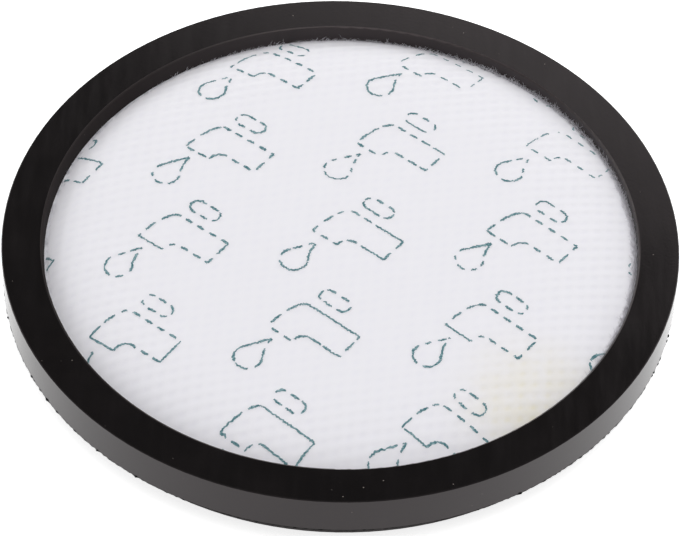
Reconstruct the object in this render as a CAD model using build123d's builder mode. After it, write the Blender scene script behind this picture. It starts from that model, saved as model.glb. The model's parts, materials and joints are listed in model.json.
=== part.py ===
# Round washable filter of a vacuum cleaner: a crowned felt pad in a cast polyurethane ring.
# Millimetres. +Z is up along the axis, the origin is the centre of the underside.

import os
from math import radians, tan

from build123d import *

# Ring, outside: a flange on top and a narrower spigot that drops into the filter seat
flange_diameter = 150.0
flange_height = 9.7
spigot_height = 7.0
step_width = 4.25  # from the flange's side in to the spigot's side

# Ring, inside: the walls left by the mould cores above and below the pad
flange_width = 9.0  # of the top face, in to the inner corner before it is rounded
spigot_wall = 5.25  # at the underside
core_draft = 4.0  # degrees

# Ring, edges
top_inner_radius = 0.4
top_outer_break = 0.2
flange_lower_break = 0.25
spigot_lead = 0.9
outlet_break = 0.5

# Pad
pad_depth = 4.2  # from the ring's top face down to the edge of the pad's upper face
pad_rim_thickness = 3.0
pad_grip = 3.6  # how far the rim reaches into the ring below the upper wall
pad_rim_clearance = 0.1  # between the rim's edge and the floor of its groove
pad_top_crown = 6.4
pad_bottom_crown = 2.5
pad_flat_diameter = 24.0  # the level middle of each face
pad_shoulder_width = 9.0  # the band along the wall, where the upper face drops away
pad_shoulder_drop = 2.7  # from the level middle down to the start of that band

# Radii and levels that follow from them
flange_radius = flange_diameter / 2
spigot_radius = flange_radius - step_width
opening_radius = flange_radius - flange_width
outlet_radius = spigot_radius - spigot_wall
top_level = spigot_height + flange_height
rim_top_level = top_level - pad_depth
rim_bottom_level = rim_top_level - pad_rim_thickness
draft_slope = tan(radians(core_draft))
upper_seat_radius = opening_radius - pad_depth * draft_slope
lower_seat_radius = outlet_radius - rim_bottom_level * draft_slope
pad_radius = upper_seat_radius + pad_grip
groove_radius = pad_radius + pad_rim_clearance
pad_flat_radius = pad_flat_diameter / 2
pad_top_level = rim_top_level + pad_top_crown
pad_shoulder_radius = upper_seat_radius - pad_shoulder_width
pad_shoulder_level = pad_top_level - pad_shoulder_drop
pad_bottom_level = rim_bottom_level - pad_bottom_crown


def corner(section, radius, level):
    """Return the corner of a section that lies nearest to a radius and a level."""
    return section.vertices().sort_by_distance((radius, level))[0]


# Ring: one stepped section turned about the axis, with a groove that grips the pad's rim
with BuildPart() as moulded_ring:
    with BuildSketch(Plane.XZ) as ring_section:
        with BuildLine():
            Polyline(
                (outlet_radius, 0),
                (spigot_radius, 0),
                (spigot_radius, spigot_height),
                (flange_radius, spigot_height),
                (flange_radius, top_level),
                (opening_radius, top_level),
                (upper_seat_radius, rim_top_level),
                (groove_radius, rim_top_level),
                (groove_radius, rim_bottom_level),
                (lower_seat_radius, rim_bottom_level),
                close=True,
            )
        make_face()
        fillet(corner(ring_section, opening_radius, top_level), top_inner_radius)
        chamfer(corner(ring_section, flange_radius, top_level), top_outer_break)
        chamfer(corner(ring_section, flange_radius, spigot_height), flange_lower_break)
        chamfer(corner(ring_section, spigot_radius, 0), spigot_lead)
        chamfer(corner(ring_section, outlet_radius, 0), outlet_break)
    revolve(axis=Axis.Z)

# Pad: a disc with a thin flat rim, tapered up to a level middle above and below
with BuildPart() as filter_pad:
    with BuildSketch(Plane.XZ):
        with BuildLine():
            Polyline(
                (0, pad_top_level),
                (pad_flat_radius, pad_top_level),
                (pad_shoulder_radius, pad_shoulder_level),
                (upper_seat_radius, rim_top_level),
                (pad_radius, rim_top_level),
                (pad_radius, rim_bottom_level),
                (lower_seat_radius, rim_bottom_level),
                (pad_flat_radius, pad_bottom_level),
                (0, pad_bottom_level),
                close=True,
            )
        make_face()
    revolve(axis=Axis.Z)

# Output
os.makedirs("parts", exist_ok=True)
moulded_ring.part.label = "moulded_ring"
filter_pad.part.label = "filter_pad"
export_step(moulded_ring.part, "parts/moulded_ring.step")
export_step(filter_pad.part, "parts/filter_pad.step")
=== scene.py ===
"""Looks of a round vacuum cleaner filter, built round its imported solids.

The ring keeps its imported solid, with a cast polyurethane finish and the ragged flash of its
mould joint. The pad is remodelled as net-faced felt, with loose fibres along its edge and a
rinsing sign printed on it over and over.
"""

import json
import logging
import math
from dataclasses import dataclass, field
from enum import Enum
from typing import Any, Iterable

import bpy
import numpy as np
from bpy.types import Material, Mesh, Node, NodeSocket, NodeTree, Object
from mathutils import Matrix, Vector


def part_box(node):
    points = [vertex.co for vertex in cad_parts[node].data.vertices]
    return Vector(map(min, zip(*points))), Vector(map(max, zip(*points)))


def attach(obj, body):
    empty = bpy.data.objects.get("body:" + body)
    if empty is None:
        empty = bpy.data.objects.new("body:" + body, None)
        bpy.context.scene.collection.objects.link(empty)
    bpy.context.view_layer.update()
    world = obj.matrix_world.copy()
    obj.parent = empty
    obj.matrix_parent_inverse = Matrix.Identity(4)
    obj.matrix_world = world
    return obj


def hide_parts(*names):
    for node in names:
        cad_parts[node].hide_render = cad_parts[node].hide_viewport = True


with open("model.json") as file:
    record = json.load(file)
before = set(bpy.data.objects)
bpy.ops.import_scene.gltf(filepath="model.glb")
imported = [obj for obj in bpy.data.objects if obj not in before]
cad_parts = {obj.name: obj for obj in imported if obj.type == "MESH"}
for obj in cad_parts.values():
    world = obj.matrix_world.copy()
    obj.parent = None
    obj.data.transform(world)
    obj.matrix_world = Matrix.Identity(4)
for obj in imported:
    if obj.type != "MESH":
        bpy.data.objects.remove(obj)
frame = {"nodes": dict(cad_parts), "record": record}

LOG = logging.getLogger("filter_scene")
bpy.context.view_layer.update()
MM = 0.001
BODY = "root"
WHITE = "ffffff"
MERGE = 1e-6
FINE_MERGE = 1e-7
Pair = tuple[float, float]


def srgb(code: str) -> tuple[float, float, float, float]:
    """Turn an sRGB hex colour into linear red, green, blue and alpha.

    Args:
        code: Six hex digits.

    Returns:
        Linear channels from 0 to 1, with an alpha of 1.
    """
    channels = [int(code[i : i + 2], 16) / 255 for i in (0, 2, 4)]
    linear = [c / 12.92 if c <= 0.04045 else ((c + 0.055) / 1.055) ** 2.4 for c in channels]
    return (linear[0], linear[1], linear[2], 1.0)


def add_node(tree: NodeTree, kind: str, inputs: dict | None = None, **settings: Any) -> Node:
    """Add a shader node, with its settings, its values and its links.

    Args:
        tree: The node tree that gets the node.
        kind: The node's type name, without the ShaderNode that all of them start with.
        inputs: Values or output sockets, by the input's name or number.
        settings: Properties of the node.

    Returns:
        The new node.
    """
    node = tree.nodes.new(f"ShaderNode{kind}")
    for name, value in settings.items():
        setattr(node, name, value)
    for key, value in (inputs or {}).items():
        if isinstance(value, NodeSocket):
            tree.links.new(value, node.inputs[key])
        else:
            node.inputs[key].default_value = value
    return node


def per_mm(size_mm: float) -> float:
    """Texture scale, on coordinates in metres, of a pattern with features of a size in mm."""
    return 1 / (size_mm * MM)


def new_material(name: str) -> Material:
    """Make an empty node material."""
    material = bpy.data.materials.new(name)
    material.use_nodes = True
    material.node_tree.nodes.clear()
    return material


def in_metres(span_mm: Pair) -> Pair:
    """Turn two measures in mm into metres."""
    return (span_mm[0] * MM, span_mm[1] * MM)


def noise(
    tree: NodeTree, place: NodeSocket, size_mm: float, detail: float, **more: float
) -> NodeSocket:
    """Noise from 0 to 1 with features of a size in mm, and more of the node's values by name."""
    inputs = {"Vector": place, "Scale": per_mm(size_mm), "Detail": detail, **more}
    return add_node(tree, "TexNoise", inputs).outputs["Fac"]


def ramp(
    tree: NodeTree, value: NodeSocket, span: Pair, to: Pair = (0.0, 1.0), curve: str = "LINEAR"
) -> NodeSocket:
    """Spread a span of values over another, and hold them at its ends."""
    inputs = {"Value": value, "From Min": span[0], "From Max": span[1], "To Min": to[0], "To Max": to[1]}
    return add_node(tree, "MapRange", inputs, interpolation_type=curve).outputs["Result"]


def times(tree: NodeTree, first: NodeSocket, second: NodeSocket | float) -> NodeSocket:
    """Product of two values."""
    return add_node(tree, "Math", {0: first, 1: second}, operation="MULTIPLY").outputs["Value"]


def mix_colours(tree: NodeTree, share: NodeSocket, first: Any, second: Any) -> NodeSocket:
    """Mix a share of a second colour into a first, each linear or from a socket."""
    return add_node(tree, "Mix", {0: share, 6: first, 7: second}, data_type="RGBA").outputs[2]


def mix_values(tree: NodeTree, share: NodeSocket, first: Any, second: Any) -> NodeSocket:
    """Mix a share of a second value into a first, each a number or from a socket."""
    return add_node(tree, "Mix", {0: share, 2: first, 3: second}, data_type="FLOAT").outputs[0]


def plan_place(tree: NodeTree, place: NodeSocket) -> NodeSocket:
    """Coordinates without their height."""
    inputs = {0: place, 1: (1.0, 1.0, 0.0)}
    return add_node(tree, "VectorMath", inputs, operation="MULTIPLY").outputs["Vector"]


def add_shader(tree: NodeTree, inputs: dict) -> None:
    """End a material's nodes with one shader, with its values and its links, and the output."""
    shader = add_node(tree, "BsdfPrincipled", inputs)
    add_node(tree, "OutputMaterial", {"Surface": shader.outputs["BSDF"]})


def dress(obj: Object, material: Material) -> None:
    """Give an object one material all over."""
    obj.data.materials.clear()
    obj.data.materials.append(material)


def pick_only(obj: Object) -> None:
    """Select one object alone and make it active."""
    bpy.ops.object.select_all(action="DESELECT")
    obj.select_set(True)
    bpy.context.view_layer.objects.active = obj


def points_of(obj: Object) -> np.ndarray:
    """Read a mesh's points, one row each."""
    flat = np.zeros(len(obj.data.vertices) * 3)
    obj.data.vertices.foreach_get("co", flat)
    return flat.reshape(-1, 3)


def set_points(mesh: Mesh, points: np.ndarray) -> None:
    """Write a mesh's points, one row each."""
    mesh.vertices.foreach_set("co", points.astype(np.float32).ravel())
    mesh.update()


def ripple(x: np.ndarray, y: np.ndarray, length: float, seed: int) -> np.ndarray:
    """Work out a smooth uneven swell over a plane.

    Args:
        x: Places along X.
        y: Places along Y.
        length: Typical distance from crest to crest.
        seed: Which swell of all.

    Returns:
        Heights, mostly between -1 and 1.
    """
    draw = np.random.default_rng(seed)
    waves = 7
    total = np.zeros_like(x)
    for _ in range(waves):
        turn, phase = draw.uniform(0, 2 * math.pi, 2)
        across = (x * math.cos(turn) + y * math.sin(turn)) / (length * draw.uniform(0.7, 1.5))
        total += np.sin(2 * math.pi * across + phase)
    return total / math.sqrt(waves)


def add_strip(columns: int, rows: int) -> Object:
    """Add a flat unit strip that copies are laid out from.

    Args:
        columns: Faces along the strip, from 0 to 1 along X.
        rows: Faces across it, from 0 to 1 along Y.

    Returns:
        The strip.
    """
    bpy.ops.object.select_all(action="DESELECT")
    bpy.ops.mesh.primitive_grid_add(
        x_subdivisions=columns, y_subdivisions=rows, size=1, location=(0.5, 0.5, 0)
    )
    bpy.ops.object.transform_apply(location=True, rotation=False, scale=False)
    return bpy.context.object


def join_copies(model: Object, placed: Iterable[np.ndarray], name: str) -> Object:
    """Copy a model once for each set of points, join the copies and remove the model.

    Args:
        model: The mesh that is copied.
        placed: For each copy, its points in the model's order.
        name: The joined piece's name.

    Returns:
        The joined piece.
    """
    copies = []
    for points in placed:
        copy = bpy.data.objects.new(name, model.data.copy())
        set_points(copy.data, points)
        bpy.context.collection.objects.link(copy)
        copies.append(copy)
    bpy.data.objects.remove(model)
    pick_only(copies[0])
    for copy in copies:
        copy.select_set(True)
    bpy.ops.object.join()
    piece = bpy.context.object
    piece.name = name
    return piece


def close_shape(obj: Object, merge: float = MERGE) -> None:
    """Merge a mesh's points that lie nearer than a distance, and turn its faces outwards."""
    pick_only(obj)
    bpy.ops.object.mode_set(mode="EDIT")
    bpy.ops.mesh.select_all(action="SELECT")
    bpy.ops.mesh.remove_doubles(threshold=merge)
    bpy.ops.mesh.normals_make_consistent(inside=False)
    bpy.ops.object.mode_set(mode="OBJECT")


@dataclass(frozen=True)
class CastPolyurethane:
    """Soft black polyurethane, cast against a smooth mould.

    The mould leaves a satin skin that mirrors the white table in its upright sides. On it lie a
    faint bloom, scuffs and dust. The wall round the pad is matt, and powdery on the left.
    """

    body: str = "090808"
    bloom: str = "100e0e"
    dust: str = "716b65"
    core_wall: str = "2e2a2a"
    mirror_tint: str = "ffeff2"
    ior: float = 1.4
    gloss: float = 0.5
    powdered_gloss: float = 0.06
    satin: float = 0.09
    dull: float = 0.17
    matt: float = 0.4
    powdery: float = 0.85
    core_wall_mm: Pair = (66.5, 66.3)
    powder_mm: Pair = (-15.0, -50.0)
    bloom_mm: float = 14.0
    bloom_range: Pair = (0.42, 0.75)
    skin_mm: float = 0.5
    skin_depth_mm: float = 0.012
    skin_strength: float = 0.35
    scuff_mm: float = 2.2
    scuff_range: Pair = (0.35, 0.8)
    scuff_stretch: float = 7.0
    scuff_turn: float = 0.6
    dust_mm: float = 2.1
    dust_height_mm: float = 0.05
    dust_strength: float = 0.5
    dust_reach: float = 0.075
    dust_share: float = 0.68

    def material(self) -> Material:
        """Build the material."""
        material = new_material("cast_polyurethane_black")
        tree = material.node_tree
        place = add_node(tree, "TexCoord").outputs["Object"]
        bloom = noise(tree, place, self.bloom_mm, 5.0, Roughness=0.62)
        bloomed = ramp(tree, bloom, self.bloom_range, curve="SMOOTHSTEP")
        skin = mix_colours(tree, bloomed, srgb(self.body), srgb(self.bloom))
        wall = self.core_mask(tree, place)
        body = mix_colours(tree, wall, skin, srgb(self.core_wall))
        dust = self.dust_mask(tree, place)
        sheen = ramp(tree, self.scuffs(tree, place), self.scuff_range, (self.satin, self.dull))
        across = add_node(tree, "SeparateXYZ", {"Vector": place}).outputs["X"]
        left = ramp(tree, across, in_metres(self.powder_mm))
        wall_sheen = mix_values(tree, left, self.matt, self.powdery)
        powdered = times(tree, wall, left)
        add_shader(
            tree,
            {
                "Base Color": mix_colours(tree, dust, body, srgb(self.dust)),
                "Roughness": mix_values(tree, wall, sheen, wall_sheen),
                "IOR": self.ior,
                "Specular IOR Level": mix_values(tree, powdered, self.gloss, self.powdered_gloss),
                "Specular Tint": srgb(self.mirror_tint),
                "Normal": self.bumps(tree, place, dust),
            },
        )
        return material

    def core_mask(self, tree: NodeTree, place: NodeSocket) -> NodeSocket:
        """Mask, 1 on the wall round the pad, which the mould's blasted core left matt."""
        flat = plan_place(tree, place)
        radius = add_node(tree, "VectorMath", {0: flat}, operation="LENGTH").outputs["Value"]
        return ramp(tree, radius, in_metres(self.core_wall_mm))

    def dust_mask(self, tree: NodeTree, place: NodeSocket) -> NodeSocket:
        """Mask, 1 on scattered small specks, of which only some show."""
        cells = add_node(tree, "TexVoronoi", {"Vector": place, "Scale": per_mm(self.dust_mm)}).outputs
        lot = add_node(tree, "SeparateColor", {"Color": cells["Color"]}).outputs["Red"]
        reach = ramp(tree, lot, (self.dust_share, 1.0), (0.0, self.dust_reach))
        inputs = {0: cells["Distance"], 1: reach}
        return add_node(tree, "Math", inputs, operation="LESS_THAN").outputs["Value"]

    def scuffs(self, tree: NodeTree, place: NodeSocket) -> NodeSocket:
        """Streaky value from 0 to 1, where the skin was rubbed."""
        inputs = {
            "Vector": place,
            "Rotation": (0.0, 0.0, self.scuff_turn),
            "Scale": (1.0, 1 / self.scuff_stretch, 1.0),
        }
        laid = add_node(tree, "Mapping", inputs).outputs["Vector"]
        return noise(tree, laid, self.scuff_mm, 4.0)

    def bumps(self, tree: NodeTree, place: NodeSocket, dust: NodeSocket) -> NodeSocket:
        """Normal of the skin's fine grain, with the specks of dust standing on it."""
        normal = None
        for height, strength, depth_mm in (
            (noise(tree, place, self.skin_mm, 3.0), self.skin_strength, self.skin_depth_mm),
            (dust, self.dust_strength, self.dust_height_mm),
        ):
            inputs = {"Height": height, "Strength": strength, "Distance": depth_mm * MM}
            if normal is not None:
                inputs["Normal"] = normal
            normal = add_node(tree, "Bump", inputs).outputs["Normal"]
        return normal


@dataclass(frozen=True)
class TornPolyurethane:
    """Polyurethane torn off at the mould joint, so it is black and has no shine."""

    body: str = "0b0a0a"
    roughness: float = 0.75
    gloss: float = 0.12

    def material(self) -> Material:
        """Build the material."""
        material = new_material("torn_polyurethane_black")
        add_shader(
            material.node_tree,
            {"Base Color": srgb(self.body), "Roughness": self.roughness, "Specular IOR Level": self.gloss},
        )
        return material


@dataclass(frozen=True)
class NettedFelt:
    """White needled polyester felt, pressed onto a net that dents it cell by cell.

    The felt is matt with a soft bloom of fibre ends, drawn coarser than single fibres, which are
    too fine to show. Amid the dents it is painted a shade darker, patchy with the clumps, as painted
    shade in the hollows. A pale resin stain lies near the wall at the front right, mostly in the dents.
    """

    felt: str = "eeedf2"
    # painted shade: the colour amid the net's dents, a shade darker than the felt, standing in for shade
    # in the hollows
    dent: str = "eae9f0"
    stain: str = "e9e4d4"
    stain_at_mm: Pair = (43.0, -46.0)
    stain_reach_mm: float = 24.0
    stain_patches: Pair = (0.15, 0.6)
    stain_dents: Pair = (0.25, 0.8)
    stain_on_threads: float = 0.68
    roughness: float = 0.9
    gloss: float = 0.2
    sheen: float = 0.15
    scatter: float = 0.5
    scatter_mm: float = 1.5
    fibre_mm: float = 0.22
    fibre_depth_mm: float = 0.05
    fibre_strength: float = 0.5
    clump_mm: float = 6.0

    def material(self, cell_attribute: str) -> Material:
        """Build the material, on a mesh attribute that is 0 on a thread and 1 amid a dent."""
        material = new_material("needled_polyester_felt")
        tree = material.node_tree
        place = add_node(tree, "TexCoord").outputs["Object"]
        cell = add_node(tree, "Attribute", attribute_name=cell_attribute).outputs["Fac"]
        clump = noise(tree, place, self.clump_mm, 4.0)
        # painted shade: the felt is darkened amid the dents, patchy with the clumps
        felt = mix_colours(tree, times(tree, cell, clump), srgb(self.felt), srgb(self.dent))
        stained = self.stain_mask(tree, place, cell, clump)
        fibre = noise(tree, place, self.fibre_mm, 4.0, Distortion=1.5)
        depth = self.fibre_depth_mm * MM
        bump = {"Height": fibre, "Strength": self.fibre_strength, "Distance": depth}
        add_shader(
            tree,
            {
                "Base Color": mix_colours(tree, stained, felt, srgb(self.stain)),
                "Roughness": self.roughness,
                "Specular IOR Level": self.gloss,
                "Sheen Weight": self.sheen,
                "Subsurface Weight": self.scatter,
                "Subsurface Radius": (1.0, 1.0, 1.0),
                "Subsurface Scale": self.scatter_mm * MM,
                "Normal": add_node(tree, "Bump", bump).outputs["Normal"],
            },
        )
        return material

    def stain_mask(
        self, tree: NodeTree, place: NodeSocket, cell: NodeSocket, clump: NodeSocket
    ) -> NodeSocket:
        """Mask of the stain: patchy, less on the threads, and fading out round one place."""
        inputs = {0: plan_place(tree, place), 1: (*in_metres(self.stain_at_mm), 0.0)}
        away = add_node(tree, "VectorMath", inputs, operation="DISTANCE").outputs["Value"]
        near = ramp(tree, away, (self.stain_reach_mm * MM, 0.0), curve="SMOOTHSTEP")
        soaked = times(tree, near, ramp(tree, clump, self.stain_patches))
        return times(tree, soaked, ramp(tree, cell, self.stain_dents, (self.stain_on_threads, 1.0)))


@dataclass(frozen=True)
class RollerInk:
    """Teal printing ink, rolled thinly onto a rough cloth, so it is patchy and matt."""

    full: str = "44727a"
    thin: str = "94b0b5"
    grain_mm: float = 0.5
    thin_range: Pair = (0.40, 0.68)
    roughness: float = 0.75
    gloss: float = 0.2

    def material(self) -> Material:
        """Build the material."""
        material = new_material("printing_ink_teal")
        tree = material.node_tree
        place = add_node(tree, "TexCoord").outputs["Object"]
        thinned = ramp(tree, noise(tree, place, self.grain_mm, 3.0), self.thin_range)
        colour = mix_colours(tree, thinned, srgb(self.full), srgb(self.thin))
        add_shader(
            tree, {"Base Color": colour, "Roughness": self.roughness, "Specular IOR Level": self.gloss}
        )
        return material


@dataclass(frozen=True)
class PolyesterFibre:
    """Loose white polyester fibres, a little grey where they have picked up dust."""

    clean: str = "f1f0f5"
    dusty: str = "d2cfd5"
    dust_mm: float = 9.0
    roughness: float = 0.6

    def material(self) -> Material:
        """Build the material."""
        material = new_material("polyester_fibre_white")
        tree = material.node_tree
        place = add_node(tree, "TexCoord").outputs["Object"]
        dust = noise(tree, place, self.dust_mm, 2.0)
        colour = mix_colours(tree, dust, srgb(self.clean), srgb(self.dusty))
        add_shader(tree, {"Base Color": colour, "Roughness": self.roughness})
        return material


@dataclass
class MouldedRing:
    """The cast ring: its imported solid, dressed, and the flash along its mould joint."""

    node: str = "moulded_ring"
    slot: str = "cast_polyurethane"
    finish: CastPolyurethane = field(default_factory=CastPolyurethane)
    flash_finish: TornPolyurethane = field(default_factory=TornPolyurethane)
    flash_steps: int = 1440
    flash_sides: int = 6
    flash_inset: float = 0.16 * MM
    flash_rise: float = 0.12 * MM
    flash_usual: float = 0.16 * MM
    flash_least: float = 0.35
    flash_levels: Pair = (0.5, 1.6)
    waves: int = 14
    wave_counts: tuple[int, int] = (40, 420)
    wave_height: float = 0.11
    nub_azimuths: tuple[float, ...] = (
        194.3, 208.0, 211.2, 213.8, 216.8, 219.8, 222.0, 227.5, 236.0, 242.0,
        294.2, 302.0, 306.7, 310.0, 314.8, 321.6, 337.3, 345.9, 35.0, 80.0, 128.0,
    )
    nub_height: float = 0.24 * MM
    nub_sizes: Pair = (0.2, 1.5)
    nub_spread: float = 0.28
    nub_spreads: Pair = (0.6, 1.5)
    seed: int = 11

    def dress_solid(self) -> None:
        """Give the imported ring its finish."""
        dress(frame["nodes"][self.node], self.finish.material())

    def build_flash(self) -> Object:
        """Model the thin ragged bead that the mould joint left under the flange's edge.

        Returns:
            The bead.
        """
        edge_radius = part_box(self.node)[1].x
        edge_level = next(m for m in frame["record"]["mounts"] if m["name"] == "flange_seat")["pos_m"][2]
        core_radius = edge_radius - self.flash_inset
        core_level = edge_level + self.flash_rise
        bead = add_strip(self.flash_steps, self.flash_sides)
        bead.name = "mould_joint_flash"
        flat = points_of(bead)
        azimuth, turn = 2 * math.pi * flat[:, 0], 2 * math.pi * flat[:, 1]
        swell = self.raggedness(azimuth)
        radius = core_radius + self.flash_usual * swell * np.cos(turn)
        level = core_level + self.flash_usual * np.clip(swell, *self.flash_levels) * np.sin(turn)
        set_points(bead.data, np.column_stack([radius * np.cos(azimuth), radius * np.sin(azimuth), level]))
        close_shape(bead)
        bpy.ops.object.shade_smooth()
        dress(bead, self.flash_finish.material())
        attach(bead, BODY)
        return bead

    def raggedness(self, azimuth: np.ndarray) -> np.ndarray:
        """Work out how far the flash stands out round the ring.

        Args:
            azimuth: Angles round the axis, in radians.

        Returns:
            Factors on the usual bead, 1 where it is even.
        """
        draw = np.random.default_rng(self.seed)
        swell = np.full_like(azimuth, 1.0)
        for waves in draw.integers(*self.wave_counts, self.waves):
            swell += self.wave_height * np.sin(waves * azimuth + draw.uniform(0, 2 * math.pi))
        for nub in self.nub_azimuths:
            away = np.degrees(np.abs(np.angle(np.exp(1j * (azimuth - math.radians(nub))))))
            spread = self.nub_spread * draw.uniform(*self.nub_spreads)
            height = draw.uniform(*self.nub_sizes) * self.nub_height / self.flash_usual
            swell += height * np.exp(-((away / spread) ** 2))
        return np.clip(swell, self.flash_least, None)


class Face(Enum):
    """The pad's two faces: the printed one and the one towards the motor."""

    UPPER = "upper"
    LOWER = "lower"


@dataclass
class PadShape:
    """Plan and heights of the felt pad, in metres, in the place that its solid holds."""

    ring_node: str = "moulded_ring"
    pad_node: str = "filter_pad"
    flange_width: float = 9.0 * MM
    pad_depth: float = 4.2 * MM
    core_draft: float = math.radians(4.0)
    rim_thickness: float = 3.0 * MM
    lower_inset: float = 0.9 * MM
    rim_play: float = 0.05 * MM
    shoulder_share: float = 0.53
    shoulder_power: float = 12.0
    column_pitch: float = 2.765 * MM
    column_facing: float = math.radians(-3.8)
    column_start: float = 0.152
    row_pitch: float = 2.688 * MM
    row_facing: float = math.radians(102.3)
    row_start: float = -0.469
    column_share: float = 0.7
    dent_depth: float = 0.30 * MM
    dent_fade: float = 2.0 * MM
    worn_radius: float = 40.0 * MM
    worn_share: float = 0.06
    fresh_gain: float = 1.5
    front_wear: float = 0.65
    sway: float = 0.10 * MM
    sway_length: float = 26.0 * MM
    bunch_raise: float = 1.7 * MM
    bunch_drop: float = 0.7 * MM
    bunch_azimuth: float = math.radians(8.0)
    bunch_power: float = 24.0
    thread_wander: float = 0.04
    wander_length: float = 17.0 * MM
    seed: int = 5

    def __post_init__(self) -> None:
        """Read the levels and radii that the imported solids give."""
        ring_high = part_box(self.ring_node)[1]
        pad_low, pad_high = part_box(self.pad_node)
        self.radius = pad_high.y - self.rim_play
        self.wall_radius = ring_high.x - self.flange_width - self.pad_depth * math.tan(self.core_draft)
        self.rim_top = ring_high.z - self.pad_depth - self.rim_play
        self.rim_bottom = ring_high.z - self.pad_depth - self.rim_thickness + self.rim_play
        self.top_crown = pad_high.z - self.rim_top
        self.bottom_crown = self.rim_bottom - pad_low.z

    def plan(self, across: np.ndarray, along: np.ndarray) -> np.ndarray:
        """Turn counts of threads, from column to column and row to row, into places along X and Y."""
        turns = (self.column_facing, self.row_facing)
        facings = np.array([[math.cos(turn), math.sin(turn)] for turn in turns])
        sideways = (across - self.column_start) * self.column_pitch
        lengthways = (along - self.row_start) * self.row_pitch
        return np.linalg.solve(facings, np.stack([sideways, lengthways]))

    def threads(self, x: np.ndarray, y: np.ndarray) -> tuple[np.ndarray, np.ndarray]:
        """Turn places into counts of threads, which wander a little from their straight lines."""
        across = (x * math.cos(self.column_facing) + y * math.sin(self.column_facing)) / self.column_pitch
        along = (x * math.cos(self.row_facing) + y * math.sin(self.row_facing)) / self.row_pitch
        across += self.column_start + self.thread_wander * ripple(x, y, self.wander_length, self.seed)
        along += self.row_start + self.thread_wander * ripple(x, y, self.wander_length, self.seed + 1)
        return across, along

    def dents(self, x: np.ndarray, y: np.ndarray) -> np.ndarray:
        """Work out the net's relief: 0 on a row's thread and 1 in the middle of a dent."""
        across, along = self.threads(x, y)
        between_columns = np.sin(math.pi * across) ** 2
        return np.sin(math.pi * along) ** 2 * (1 - self.column_share * (1 - between_columns))

    def cells(self, x: np.ndarray, y: np.ndarray) -> np.ndarray:
        """Work out the net's pattern: 0 on every thread and 1 in the middle of a cell."""
        across, along = self.threads(x, y)
        return (np.sin(math.pi * across) * np.sin(math.pi * along)) ** 2

    def knots(self, x: np.ndarray, y: np.ndarray) -> np.ndarray:
        """How well ink takes: 1 where two threads cross, 0.5 along a thread, 0 in a dent."""
        across, along = self.threads(x, y)
        return (np.cos(math.pi * across) ** 2 + np.cos(math.pi * along) ** 2) / 2

    def relief(self, x: np.ndarray, y: np.ndarray) -> np.ndarray:
        """Share of the net's relief that shows: less in the middle and in front, none in the grip."""
        radius = np.hypot(x, y)
        inside = np.clip((self.wall_radius - radius) / self.dent_fade, 0, 1)
        beyond = (radius - self.worn_radius) / (self.wall_radius - self.worn_radius)
        fresh = np.clip(beyond * self.fresh_gain, 0, 1)
        fresh *= 1 - self.front_wear * (0.5 - 0.5 * y / np.maximum(radius, self.dent_fade))
        return inside * inside * (3 - 2 * inside) * (self.worn_share + (1 - self.worn_share) * fresh)

    def crown(self, x: np.ndarray, y: np.ndarray, edge: float) -> np.ndarray:
        """Share of the crown, 1 in the middle and 0 at an edge radius, with a round shoulder."""
        out = np.minimum(np.hypot(x, y) / edge, 1)
        return 1 - (1 - self.shoulder_share) * out**2 - self.shoulder_share * out**self.shoulder_power

    def bunching(self, x: np.ndarray, y: np.ndarray) -> np.ndarray:
        """How far the felt is pushed up along the wall on the right, and drawn down on the left."""
        out = np.hypot(x, y) / self.wall_radius
        side = np.cos(np.arctan2(y, x) - self.bunch_azimuth)
        push = np.where(side > 0, self.bunch_raise * side**2, self.bunch_drop * side)
        return np.where(out < 1, push * out**self.bunch_power, 0)

    def height(self, face: Face, x: np.ndarray, y: np.ndarray) -> np.ndarray:
        """Work out the level of one of the pad's faces.

        Args:
            face: Which face.
            x: Places along X.
            y: Places along Y.

        Returns:
            Levels above the table.
        """
        if face is Face.UPPER:
            crown = (self.top_crown - self.sway) * self.crown(x, y, self.wall_radius)
            sway = self.sway * ripple(x, y, self.sway_length, self.seed + 2)
            swell = sway - self.dent_depth * self.dents(x, y)
            return self.rim_top + crown + swell * self.relief(x, y) + self.bunching(x, y)
        crown = (self.bottom_crown - self.sway) * self.crown(x, y, self.wall_radius - self.lower_inset)
        sway = self.sway * ripple(x, y, self.sway_length, self.seed + 3)
        swell = sway + self.dent_depth * self.dents(x, y)
        return self.rim_bottom - crown + swell * self.relief(x, y)


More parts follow.
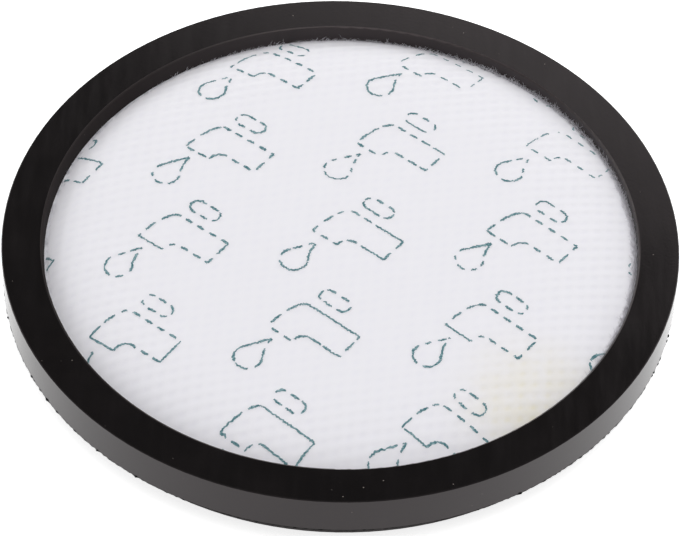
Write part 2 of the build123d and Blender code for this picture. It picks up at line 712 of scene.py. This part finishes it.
@dataclass
class FeltPad:
    """The pad itself: one closed felt body with the net's dents in both faces."""

    shape: PadShape
    node: str = "filter_pad"
    slot: str = "needled_felt"
    finish: NettedFelt = field(default_factory=NettedFelt)
    faces_per_thread: int = 4
    spare_threads: int = 8
    spare_faces: float = 0.75
    fill: float = 0.7
    cell_attribute: str = "net_cell"

    def build(self) -> Object:
        """Model the pad from one sheet, laid along the threads and drawn down to a body.

        Returns:
            The pad.
        """
        pad = self.cut_sheet()
        self.draw_down(pad)
        dress(pad, self.finish.material(self.cell_attribute))
        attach(pad, BODY)
        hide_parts(self.node)
        return pad

    def cut_sheet(self) -> Object:
        """Lay a sheet of faces along the threads and cut it round.

        Returns:
            The round sheet, flat.
        """
        shape = self.shape
        threads = 2 * math.ceil(shape.radius / shape.row_pitch) + self.spare_threads
        faces = threads * self.faces_per_thread
        bpy.ops.object.select_all(action="DESELECT")
        bpy.ops.mesh.primitive_grid_add(x_subdivisions=faces, y_subdivisions=faces, size=threads)
        pad = bpy.context.object
        pad.name = "felt_pad"
        points = points_of(pad)
        points[:, 0], points[:, 1] = shape.plan(points[:, 0], points[:, 1])
        radius = np.hypot(points[:, 0], points[:, 1])
        one_face = shape.row_pitch / self.faces_per_thread
        onto_edge = np.minimum(1.0, shape.radius / np.maximum(radius, one_face))
        points[:, :2] *= onto_edge[:, None]
        set_points(pad.data, points)
        beyond = radius > shape.radius + self.spare_faces * one_face
        pad.data.polygons.foreach_set("select", np.zeros(len(pad.data.polygons), bool))
        pad.data.edges.foreach_set("select", np.zeros(len(pad.data.edges), bool))
        pad.data.vertices.foreach_set("select", beyond)
        bpy.ops.object.mode_set(mode="EDIT")
        bpy.ops.mesh.select_mode(type="VERT")
        bpy.ops.mesh.delete(type="VERT")
        bpy.ops.object.mode_set(mode="OBJECT")
        return pad

    def draw_down(self, pad: Object) -> None:
        """Extrude the sheet to a closed body and raise the crowns and the dents.

        Args:
            pad: The flat round sheet.
        """
        shape = self.shape
        pick_only(pad)
        bpy.ops.object.mode_set(mode="EDIT")
        bpy.ops.mesh.select_all(action="SELECT")
        bpy.ops.mesh.extrude_region_move(TRANSFORM_OT_translate={"value": (0, 0, -shape.rim_thickness)})
        bpy.ops.object.mode_set(mode="OBJECT")
        points = points_of(pad)
        x, y = points[:, 0], points[:, 1]
        lower = points[:, 2] < -shape.rim_thickness / 2
        points[:, 2] = np.where(lower, shape.height(Face.LOWER, x, y), shape.height(Face.UPPER, x, y))
        set_points(pad.data, points)
        cells = pad.data.attributes.new(self.cell_attribute, "FLOAT", "POINT")
        cells.data.foreach_set("value", shape.cells(x, y).astype(np.float32))
        close_shape(pad)
        bpy.ops.object.shade_smooth()


@dataclass(frozen=True)
class TapSign:
    """A tap with a falling drop, the common sign for rinsing, drawn from lines and arcs.

    Millimetres, with the pipe along +X from the bend at 0.
    """

    pipe_length: float = 14.5
    pipe_height: float = 7.0
    mouth_level: float = -10.1
    mouth_left: float = -2.9
    mouth_right: float = 3.9
    bend_start: float = 0.5
    inner_start: float = 6.4
    knob_middle: float = 4.1
    knob_level: float = 4.5
    knob_length: float = 7.7
    knob_height: float = 3.5
    drop_tip: Pair = (0.1, -12.4)
    drop_middle: Pair = (-0.7, -19.4)
    drop_radius: float = 3.1
    drop_hollow: float = 0.45
    firmness: float = 0.10
    step: float = 0.1

    def line(self, start: Pair, end: Pair, sag: float = 0.0) -> np.ndarray:
        """Points along a line, which may sag to its left."""
        count = max(2, round(math.dist(start, end) / self.step))
        share = np.linspace(0, 1, count)[:, None]
        way = np.subtract(end, start)
        left = np.array([-way[1], way[0]]) / math.dist(start, end)
        return start + share * way + 4 * sag * share * (1 - share) * left

    def arc(self, middle: Pair, radii: Pair, begin: float, end: float) -> np.ndarray:
        """Points along an arc of an ellipse, between two angles in degrees."""
        count = max(2, round(abs(math.radians(end - begin)) * max(radii) / self.step))
        turn = np.radians(np.linspace(begin, end, count))
        return np.stack([middle[0] + radii[0] * np.cos(turn), middle[1] + radii[1] * np.sin(turn)], axis=1)

    def strokes(self) -> list[tuple[float, np.ndarray]]:
        """List the sign's strokes, of which the long straight ones are printed less firmly.

        Returns:
            For each stroke, how much firmer it is printed and its points in order.
        """
        end, floor = self.pipe_length, -self.pipe_height
        bend = (self.bend_start - self.mouth_left, -self.mouth_level)
        inner = (self.inner_start - self.mouth_right, floor - self.mouth_level)
        half = (self.knob_length - self.knob_height) / 2
        round_end = (self.knob_height / 2, self.knob_height / 2)
        left, right = self.knob_middle - half, self.knob_middle + half
        low, high = self.knob_level - self.knob_height / 2, self.knob_level + self.knob_height / 2
        straight = [
            self.line((self.bend_start, 0), (end, 0)),
            self.line((end, floor), (self.inner_start, floor)),
            self.line((self.mouth_right, self.mouth_level), (self.mouth_left, self.mouth_level)),
            self.line((left, low), (right, low)),
            self.line((right, high), (left, high)),
        ]
        firm = [
            self.line((end, 0), (end, floor)),
            self.arc((self.inner_start, self.mouth_level), inner, 90, 180),
            self.arc((self.bend_start, self.mouth_level), bend, 180, 90),
            self.arc((left, self.knob_level), round_end, 90, 270),
            self.arc((right, self.knob_level), round_end, -90, 90),
            *self.drop_strokes(),
        ]
        return [(0.0, stroke) for stroke in straight] + [(self.firmness, stroke) for stroke in firm]

    def drop_strokes(self) -> list[np.ndarray]:
        """The drop's two sides and its round foot."""
        tip, middle = Vector(self.drop_tip), Vector(self.drop_middle)
        away = tip - middle
        opening = math.degrees(math.acos(self.drop_radius / away.length))
        towards = math.degrees(math.atan2(away.y, away.x))
        first, last = towards + opening, towards - opening + 360
        foot = self.arc(self.drop_middle, (self.drop_radius, self.drop_radius), first, last)
        left_side = self.line(self.drop_tip, tuple(foot[0]))
        right_side = self.line(tuple(foot[-1]), self.drop_tip, self.drop_hollow)
        return [left_side, foot, right_side]

    def anchor(self) -> np.ndarray:
        """The middle of the knob, by which a sign is placed."""
        return np.array([self.knob_middle, self.knob_level])


@dataclass
class RinsePrint:
    """The rinsing signs, printed in rows on the pad's upper face."""

    shape: PadShape
    sign: TapSign = field(default_factory=TapSign)
    finish: RollerInk = field(default_factory=RollerInk)
    first_mm: Pair = (-12.07, 60.43)
    along_row_mm: Pair = (38.5, 1.86)
    to_next_row_mm: Pair = (-9.07, -27.69)
    turn: float = math.radians(-37.6)
    stroke_mm: float = 0.52
    thinnest: float = 0.35
    longest_mm: float = 2.4
    shake_mm: float = 0.17
    front_gain: float = 0.06
    take: float = 0.36
    take_spread: float = 0.015
    take_noise: float = 0.045
    noise_length: float = 2.6 * MM
    starved_from: float = 0.45
    starved_towards: float = math.radians(40.0)
    starved_loss: float = 0.17
    starved_width: float = 0.35
    lift: float = 0.035 * MM
    depth: float = 0.14 * MM
    wall_gap: float = 0.25 * MM
    dash_faces: int = 8
    smooth_angle: float = math.radians(40.0)
    sign_reach_mm: float = 26.0
    sign_steps: range = range(-3, 8)
    width_spread: Pair = (0.85, 1.2)
    edge_shake: float = 0.3
    least_points: int = 3
    seed: int = 23

    def build(self) -> Object:
        """Lay out every sign's dashes on the pad.

        Returns:
            The print, one piece.
        """
        draw = np.random.default_rng(self.seed)
        model = add_strip(self.dash_faces, 2)
        along, across = points_of(model)[:, 0], points_of(model)[:, 1]
        dashes = [
            points
            for place in self.places()
            for stroke in self.dashes(place, draw)
            if (points := self.drape(stroke, along, across, draw)) is not None
        ]
        ink = join_copies(model, dashes, "rinse_signs")
        wall = ink.modifiers.new("depth", "SOLIDIFY")
        wall.thickness = self.depth
        wall.offset = -1.0
        pick_only(ink)
        bpy.ops.object.modifier_apply(modifier=wall.name)
        close_shape(ink, FINE_MERGE)
        bpy.ops.object.shade_smooth_by_angle(angle=self.smooth_angle)
        dress(ink, self.finish.material())
        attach(ink, BODY)
        return ink

    def places(self) -> list[np.ndarray]:
        """Middles of all the knobs whose signs can reach the pad, in mm."""
        first, along, down = (np.array(v) for v in (self.first_mm, self.along_row_mm, self.to_next_row_mm))
        spots = [first + i * along + j * down for j in self.sign_steps for i in self.sign_steps]
        reach = self.shape.wall_radius / MM + self.sign_reach_mm
        return [spot for spot in spots if np.hypot(*spot) < reach]

    def starved(self, x: np.ndarray, y: np.ndarray) -> np.ndarray:
        """How far the roller ran out of ink: 0 over most of the pad, rising towards the back right."""
        towards = x * math.cos(self.starved_towards) + y * math.sin(self.starved_towards)
        share = towards / self.shape.wall_radius
        return np.clip((share - self.starved_from) / (1 - self.starved_from), 0, 1)

    def ink(self, x: np.ndarray, y: np.ndarray) -> np.ndarray:
        """How much ink the net takes: 0 or less where the cloth stays white, 1 at the most."""
        needed = self.take + self.starved_loss * self.starved(x, y)
        needed -= self.front_gain * np.clip(-y / self.shape.wall_radius, 0, 1)
        needed += self.take_noise * ripple(x, y, self.noise_length, self.seed)
        return (self.shape.knots(x, y) - needed) / (1 - needed)

    def dashes(self, place: np.ndarray, draw: np.random.Generator) -> list[np.ndarray]:
        """Break one sign's strokes into dashes, where the net takes the ink.

        Args:
            place: The middle of the sign's knob, in mm.
            draw: The print's random numbers.

        Returns:
            For each dash, points along it, in metres.
        """
        cos, sin = math.cos(self.turn), math.sin(self.turn)
        turned = np.array([[cos, sin], [-sin, cos]])
        missing = draw.normal(0, self.take_spread)
        longest = round(self.longest_mm / self.sign.step)
        found = []
        for firmness, points in self.sign.strokes():
            laid = ((points - self.sign.anchor()) @ turned + place) * MM
            fed = 1 - self.starved(laid[:, 0], laid[:, 1])
            takes = (self.ink(laid[:, 0], laid[:, 1]) + firmness * fed > missing).astype(int)
            runs = np.flatnonzero(np.diff(takes, prepend=0, append=0)).reshape(-1, 2)
            for begin, end in runs:
                found.extend(laid[at : min(at + longest + 1, end)] for at in range(begin, end, longest))
        return [dash for dash in found if len(dash) >= self.least_points]

    def drape(
        self, dash: np.ndarray, along: np.ndarray, across: np.ndarray, draw: np.random.Generator
    ) -> np.ndarray | None:
        """Lay a copy of the strip along a dash and let it down onto the felt.

        Args:
            dash: Points along the dash, in metres.
            along: For each point of the strip, its share of the length.
            across: For each point of the strip, its share of the width.
            draw: The print's random numbers.

        Returns:
            The copy's points, or None where the ring hides the dash.
        """
        limit = self.shape.wall_radius - self.wall_gap
        shows = np.hypot(dash[:, 0], dash[:, 1]) < limit
        width = self.stroke_mm * draw.uniform(*self.width_spread) * MM
        shake = draw.normal(0, self.shake_mm * MM, (2, self.dash_faces + 1))
        if shows.sum() < self.least_points:
            return None
        dash = dash[shows]
        steps = np.linspace(0, len(dash) - 1, self.dash_faces + 1)
        line = np.stack([np.interp(steps, np.arange(len(dash)), dash[:, k]) for k in (0, 1)], axis=1)
        amount = np.sqrt(np.clip(self.ink(line[:, 0], line[:, 1]), 0, 1))
        way = np.gradient(line, axis=0)
        way /= np.linalg.norm(way, axis=1)[:, None] + 1e-12
        side = np.stack([-way[:, 1], way[:, 0]], axis=1)
        line += 0.5 * shake[0][:, None] * side
        half = 0.5 * width * (self.thinnest + (1 - self.thinnest) * amount)
        half += self.edge_shake * np.abs(shake[1])
        half *= 1 - self.starved_width * self.starved(line[:, 0], line[:, 1])
        index = np.rint(along * self.dash_faces).astype(int)
        plan = line[index] + side[index] * ((across - 0.5) * 2 * half[index])[:, None]
        height = self.shape.height(Face.UPPER, plan[:, 0], plan[:, 1]) + self.lift
        return np.column_stack([plan, height])


@dataclass
class EdgeFibres:
    """Loose fibres that stand along the wall, where the ring grips the felt.

    They are thicker than real ones, which would be too fine to show.
    """

    shape: PadShape
    finish: PolyesterFibre = field(default_factory=PolyesterFibre)
    tufts: int = 560
    fibres_in_tuft: int = 25
    shortest_mm: float = 0.25
    usual_mm: float = 0.26
    longest_mm: float = 1.2
    radius_mm: Pair = (0.028, 0.048)
    rise: Pair = (0.4, 1.8)
    lean: Pair = (-0.9, 0.7)
    curl: float = 0.5
    droop: Pair = (-0.9, 0.1)
    root_spread: Pair = (0.1, 1.0)
    root_sink: float = 0.1 * MM
    roundness: float = 0.6
    lush_azimuth: float = math.radians(5.0)
    lushness: float = 0.3
    band: float = 1.0 * MM
    wall_play: float = 0.08 * MM
    steps: int = 3
    sides: int = 3
    seed: int = 31

    def build(self) -> Object:
        """Roll strips into a tuft of fibres and copy it round the wall.

        Returns:
            The fibres, one piece.
        """
        draw = np.random.default_rng(self.seed)
        strip = add_strip(self.steps, self.sides)
        flat = points_of(strip)
        model = join_copies(strip, [flat + (0, 0, level) for level in range(self.fibres_in_tuft)], "tuft")
        laid = [self.tuft(points_of(model), draw) for _ in range(self.tufts)]
        fibres = join_copies(model, laid, "edge_fibres")
        close_shape(fibres)
        bpy.ops.object.shade_smooth()
        dress(fibres, self.finish.material())
        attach(fibres, BODY)
        return fibres

    def tuft(self, flat: np.ndarray, draw: np.random.Generator) -> np.ndarray:
        """Lay out one copy of the tuft.

        Args:
            flat: The tuft's points as flat strips, one above the other.
            draw: The fibres' random numbers.

        Returns:
            The tuft's points, with each strip rolled into a fibre of its own.
        """
        points = np.empty_like(flat)
        levels = np.rint(flat[:, 2]).astype(int)
        for level in range(self.fibres_in_tuft):
            own = levels == level
            points[own] = self.fibre(flat[own, 0], flat[own, 1], draw)
        return points

    def fibre(self, along: np.ndarray, across: np.ndarray, draw: np.random.Generator) -> np.ndarray:
        """Work out one curved, tapered fibre.

        Args:
            along: For each point of the strip, its share of the length.
            across: For each point of the strip, its share of the way round.
            draw: The fibres' random numbers.

        Returns:
            The points of a tube closed at both ends.
        """
        azimuth = draw.uniform(0, 2 * math.pi)
        azimuth -= self.lushness * math.sin(azimuth - self.lush_azimuth)
        lush = 1 + self.lushness * math.cos(azimuth - self.lush_azimuth)
        root_radius = self.shape.wall_radius - draw.uniform(*self.root_spread) ** 3 * self.band
        outward = np.array([math.cos(azimuth), math.sin(azimuth), 0.0])
        sideways = np.array([-outward[1], outward[0], 0.0])
        heading = sideways * draw.normal(0, 1) + outward * draw.uniform(*self.lean)
        heading = heading / np.linalg.norm(heading) + np.array([0, 0, draw.uniform(*self.rise)])
        bend = [draw.normal(0, self.curl), draw.normal(0, self.curl), draw.uniform(*self.droop)]
        length = lush * min(self.shortest_mm + draw.exponential(self.usual_mm), self.longest_mm) * MM
        root = outward * root_radius
        root[2] = float(self.shape.height(Face.UPPER, root[:1], root[1:2])[0]) - self.root_sink
        share = np.linspace(0, 1, self.steps + 1)[:, None]
        line = root + length * (share * heading + 0.5 * share**2 * np.array(bend))
        away = np.hypot(line[:, 0], line[:, 1])
        slope = math.tan(self.shape.core_draft)
        wall = self.shape.wall_radius + (line[:, 2] - self.shape.rim_top) * slope - self.wall_play
        line[:, :2] *= np.minimum(1, wall / away)[:, None]
        taper = np.sqrt(np.clip(1 - (2 * share[:, 0] - 1) ** 4, 0, 1))
        radius = draw.uniform(*self.radius_mm) * MM * taper
        index = np.rint(along * self.steps).astype(int)
        turn = 2 * math.pi * across
        slanted = self.roundness * np.array([0, 0, 1.0]) + self.roundness * sideways
        ring = np.cos(turn)[:, None] * outward + np.sin(turn)[:, None] * slanted
        return line[index] + ring * radius[index][:, None]


@dataclass
class Studio:
    """White table, soft light and the photograph's camera."""

    ring_node: str = "moulded_ring"
    floor_size: float = 8.0
    floor_white: str = "f2f2f2"
    floor_glow: float = 0.75
    mirrored_glow: float = 0.75
    mirrored_boost: float = 0.39
    panel_level: float = 1.2
    ceiling_level: float = 0.12
    panel_edge: Pair = (0.674, 0.728)
    panel_tilt: float = 0.3
    panel_sides: Pair = (0.0, 0.4)
    room_level: float = 0.35
    overhead_power: float = 15.0
    overhead_place: tuple[float, float, float] = (0.08, -0.22, 1.5)
    overhead_size: float = 1.5
    elevation: float = math.radians(48.05)
    roll: float = math.radians(-1.66)
    focal_px: float = 3750.0
    image_width_px: float = 680.0
    sensor_mm: float = 36.0
    top_centre_radii: tuple[float, float, float] = (0.0022, 0.0945, 11.075)

    def build(self) -> None:
        """Set up the floor, the light and the camera."""
        self.lay_floor()
        self.light_world()
        self.hang_lamp()
        self.place_camera()
        bpy.context.scene.view_settings.view_transform = "Standard"

    def lay_floor(self) -> None:
        """Lay a white table that keeps the filter's shadow."""
        bpy.ops.object.select_all(action="DESELECT")
        bpy.ops.mesh.primitive_plane_add(size=self.floor_size)
        floor = bpy.context.object
        floor.name = "floor"
        material = new_material("matt_white_table")
        tree = material.node_tree
        path = add_node(tree, "LightPath").outputs
        mirrored = add_node(
            tree, "Math", {0: path["Is Glossy Ray"], 1: path["Is Transmission Ray"]}, operation="MAXIMUM"
        ).outputs["Value"]
        faint = times(tree, mirrored, self.mirrored_glow)
        glow = add_node(
            tree,
            "Math",
            {0: path["Is Camera Ray"], 1: self.floor_glow, 2: faint},
            operation="MULTIPLY_ADD",
        ).outputs["Value"]
        add_shader(
            tree,
            {
                "Base Color": srgb(self.floor_white),
                "Roughness": 1.0,
                "Specular IOR Level": 0.0,
                "Emission Color": srgb(WHITE),
                "Emission Strength": glow,
            },
        )
        dress(floor, material)

    def light_world(self) -> None:
        """Stand a white panel behind the table, higher on the right, in a dim room."""
        world = bpy.data.worlds.new("studio")
        bpy.context.scene.world = world
        world.use_nodes = True
        tree = world.node_tree
        tree.nodes.clear()
        direction = add_node(tree, "TexCoord").outputs["Generated"]
        parts = add_node(tree, "SeparateXYZ", {"Vector": direction}).outputs
        tilt = times(tree, parts["X"], self.panel_tilt)
        height = add_node(tree, "Math", {0: parts["Z"], 1: tilt}, operation="SUBTRACT").outputs["Value"]
        levels = (self.panel_level, self.ceiling_level)
        level = ramp(tree, height, self.panel_edge, levels, "SMOOTHSTEP")
        behind = ramp(tree, parts["Y"], self.panel_sides, curve="SMOOTHSTEP")
        strength = mix_values(tree, behind, self.room_level, level)
        path = add_node(tree, "LightPath").outputs
        boost = add_node(
            tree,
            "Math",
            {0: path["Is Glossy Ray"], 1: self.mirrored_boost, 2: 1.0},
            operation="MULTIPLY_ADD",
        ).outputs["Value"]
        mirrored = times(tree, strength, boost)
        soft = add_node(tree, "Background", {"Color": srgb(WHITE), "Strength": mirrored})
        white = add_node(tree, "Background", {"Color": srgb(WHITE), "Strength": 1.0})
        both = add_node(
            tree,
            "MixShader",
            {0: path["Is Camera Ray"], 1: soft.outputs["Background"], 2: white.outputs["Background"]},
        )
        add_node(tree, "OutputWorld", {"Surface": both.outputs["Shader"]})

    def hang_lamp(self) -> None:
        """Hang one soft box over the table, a little in front."""
        bpy.ops.object.select_all(action="DESELECT")
        bpy.ops.object.light_add(type="AREA", location=self.overhead_place)
        lamp = bpy.context.object
        lamp.name = "overhead_soft_box"
        lamp.data.size = self.overhead_size
        lamp.data.energy = self.overhead_power

    def place_camera(self) -> None:
        """Stand the camera where the photograph was taken from."""
        ring_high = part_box(self.ring_node)[1]
        cos_e, sin_e = math.cos(self.elevation), math.sin(self.elevation)
        level = Matrix(((1, 0, 0), (0, sin_e, cos_e), (0, cos_e, -sin_e)))
        axes = Matrix.Rotation(self.roll, 3, "Z") @ level
        offset = axes.transposed() @ Vector(self.top_centre_radii)
        place = -offset * ring_high.x + Vector((0, 0, ring_high.z))
        right, up, forward = axes
        camera = bpy.data.objects.new("camera", bpy.data.cameras.new("camera"))
        bpy.context.scene.collection.objects.link(camera)
        turn = Matrix((right, up, -forward)).transposed().to_4x4()
        camera.matrix_world = Matrix.Translation(place) @ turn
        camera.data.sensor_width = self.sensor_mm
        camera.data.lens = self.focal_px / self.image_width_px * self.sensor_mm
        camera.data.clip_end = 100.0
        bpy.context.scene.camera = camera


def main() -> None:
    """Build the filter piece by piece, then the studio round it."""
    logging.basicConfig(level=logging.INFO, format="%(message)s")
    ring = MouldedRing()
    ring.dress_solid()
    shape = PadShape()
    pieces = [
        ring.build_flash(),
        FeltPad(shape).build(),
        RinsePrint(shape).build(),
        EdgeFibres(shape).build(),
    ]
    for piece in pieces:
        LOG.info("%s: %d faces", piece.name, len(piece.data.polygons))
    Studio().build()


if __name__ == "__main__":
    main()
